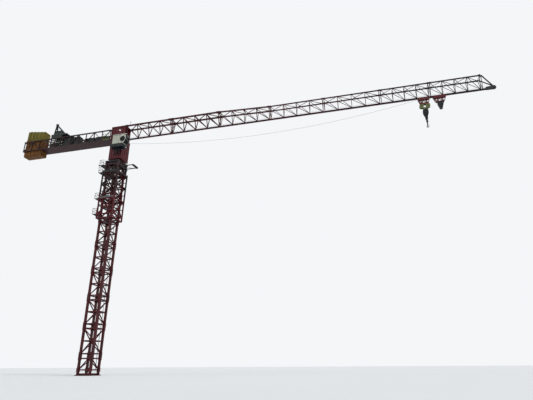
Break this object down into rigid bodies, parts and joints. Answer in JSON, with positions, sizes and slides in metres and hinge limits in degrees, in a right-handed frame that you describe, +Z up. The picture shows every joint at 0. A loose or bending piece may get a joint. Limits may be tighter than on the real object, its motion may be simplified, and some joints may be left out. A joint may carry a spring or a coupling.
{
  "type": "tower crane, scale model",
  "caption": "Flat-top tower crane, one-tenth scale: lattice mast with climbing cage, side cab, counter-jib with weights, inverted-triangle jib with trolleys and hook.",
  "frame": {"origin": "on the mast's axis, at the underside of the base frame where it meets the foundation", "axes": "+X along the jib at rest, +Z up, +Y away from the cab"},
  "size_m": [9.2673, 0.476, 5.0556],
  "materials": {
    "mast_steel": "semi-gloss, dusty",
    "jib_steel": "semi-gloss",
    "counter_steel": "matt, rusty",
    "cage_steel": "matt, dirty",
    "red_steel": "semi-gloss",
    "platform_steel": "matt",
    "galvanised": "dull",
    "jack_steel": "satin",
    "cab_paint": "satin",
    "dark_glass": "tinted",
    "winch_green": "satin",
    "cabinet_grey": "satin",
    "weight_yellow": "painted, matt",
    "dark_steel": "painted, oily",
    "rope": "oily strand"
  },
  "bodies": {
    "mast": {"base_frame": "mast_steel", "mast_base": "mast_steel", "mast_section_1": "mast_steel", "mast_section_2": "mast_steel", "mast_section_3": "mast_steel", "mast_section_4": "mast_steel", "mast_section_5": "mast_steel", "mast_section_6": "mast_steel", "mast_section_7": "mast_steel", "mast_ladder": "galvanised", "climbing_crosshead": "jack_steel"},
    "cage": {"cage_near_side": "cage_steel", "cage_far_side": "cage_steel", "cage_left_side": "cage_steel", "cage_right_side": "cage_steel", "cage_platforms": "platform_steel", "climbing_jack": "jack_steel", "cage_monorail": "platform_steel", "slewing_support": "mast_steel"},
    "upper": {"turntable": "red_steel", "tower_head": "red_steel", "cab_shell": "cab_paint", "cab_glass": "dark_glass", "cab_platform": "platform_steel", "jib_section_1": "jib_steel", "jib_section_2": "jib_steel", "jib_section_3": "jib_steel", "jib_section_4": "jib_steel", "jib_section_5": "jib_steel", "jib_section_6": "jib_steel", "jib_section_7": "jib_steel", "jib_nose": "jib_steel", "counter_trusses": "counter_steel", "counter_deck": "counter_steel", "hoist_winch": "winch_green", "control_cabinets": "cabinet_grey", "counterweights": "weight_yellow", "derrick": "platform_steel", "hoist_rope": "rope"},
    "trolley": {"main_trolley": "red_steel", "second_trolley": "red_steel", "spare_block": "dark_steel", "rope_falls": "rope"},
    "hook_block": {"hook_block": "dark_steel"},
    "hook": {"hook": "dark_steel"}
  },
  "joints": [
    {"name": "climb", "type": "slide", "parent": "mast", "child": "cage", "axis": [0, 0, 1], "range_m": [0, 0.15]},
    {"name": "slew", "type": "hinge", "parent": "cage", "child": "upper", "pos_m": [0, 0, 3.93], "axis": [0, 0, 1], "continuous": true},
    {"name": "trolley_travel", "type": "slide", "parent": "upper", "child": "trolley", "axis": [1, 0, 0], "range_m": [-5.32, 0.55], "deforming": ["hoist_rope"]},
    {"name": "hoist", "type": "slide", "parent": "trolley", "child": "hook_block", "axis": [0, 0, -1], "range_m": [0, 3.3], "deforming": ["rope_falls"]},
    {"name": "hook_swivel", "type": "hinge", "parent": "hook_block", "child": "hook", "pos_m": [5.87, 0, 3.97], "axis": [0, 0, 1], "continuous": true}
  ]
}
